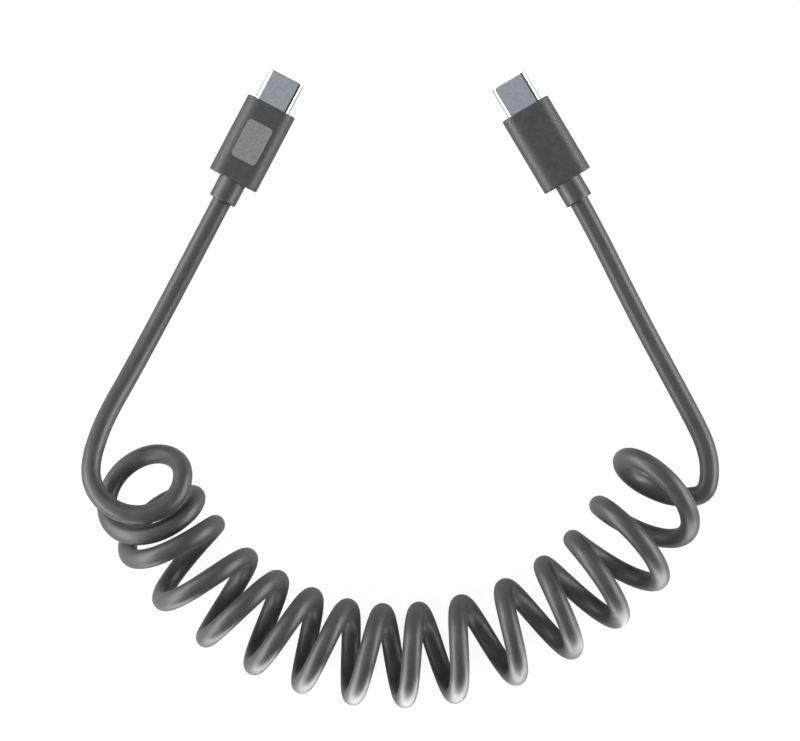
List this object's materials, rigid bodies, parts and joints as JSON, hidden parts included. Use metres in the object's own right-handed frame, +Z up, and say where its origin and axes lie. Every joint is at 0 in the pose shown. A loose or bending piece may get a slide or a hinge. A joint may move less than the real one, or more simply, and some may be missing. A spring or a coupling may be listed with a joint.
{
  "type": "coiled usb-c charging cable",
  "caption": "Curly charging cable lying in a U: a springy coil, a straight lead at each end, and a slim flat-topped plug with a steel shell on each lead.",
  "frame": {"origin": "On the surface that the cable lies on, at the middle of the two plugs' box.", "axes": "+Z up from the surface, +X from the left plug to the right plug, +Y the way the plugs' mouths point."},
  "size_m": [0.137, 0.1382, 0.0226],
  "materials": {
    "shell_steel": "nickel-plated stainless steel, satin",
    "carrier_plastic": "glass-filled liquid-crystal polymer, matt black",
    "contact_gold": "gold-plated copper alloy, smooth",
    "spring_steel": "stamped stainless spring steel",
    "card_laminate": "glass-epoxy laminate with green solder mask",
    "wire_sheath": "extruded wire insulation",
    "core_plastic": "low-pressure moulded polyethylene, natural",
    "housing_plastic": "moulded polycarbonate blend, fine matt grain",
    "collar_elastomer": "soft moulded elastomer, matt",
    "cord_elastomer": "extruded thermoplastic elastomer, satin"
  },
  "bodies": {
    "root": {"left_shell": "shell_steel", "left_insulator": "carrier_plastic", "left_upper_contacts": "contact_gold", "left_lower_contacts": "contact_gold", "left_latch_plate": "spring_steel", "left_upper_ground_spring": "spring_steel", "left_lower_ground_spring": "spring_steel", "left_paddle_card": "card_laminate", "left_wire_ends": "wire_sheath", "left_core": "core_plastic", "left_housing": "housing_plastic", "left_strain_relief": "collar_elastomer", "right_shell": "shell_steel", "right_insulator": "carrier_plastic", "right_upper_contacts": "contact_gold", "right_lower_contacts": "contact_gold", "right_latch_plate": "spring_steel", "right_upper_ground_spring": "spring_steel", "right_lower_ground_spring": "spring_steel", "right_paddle_card": "card_laminate", "right_wire_ends": "wire_sheath", "right_core": "core_plastic", "right_housing": "housing_plastic", "right_strain_relief": "collar_elastomer", "coil": "cord_elastomer", "left_lead": "cord_elastomer", "right_lead": "cord_elastomer"}
  },
  "joints": []
}
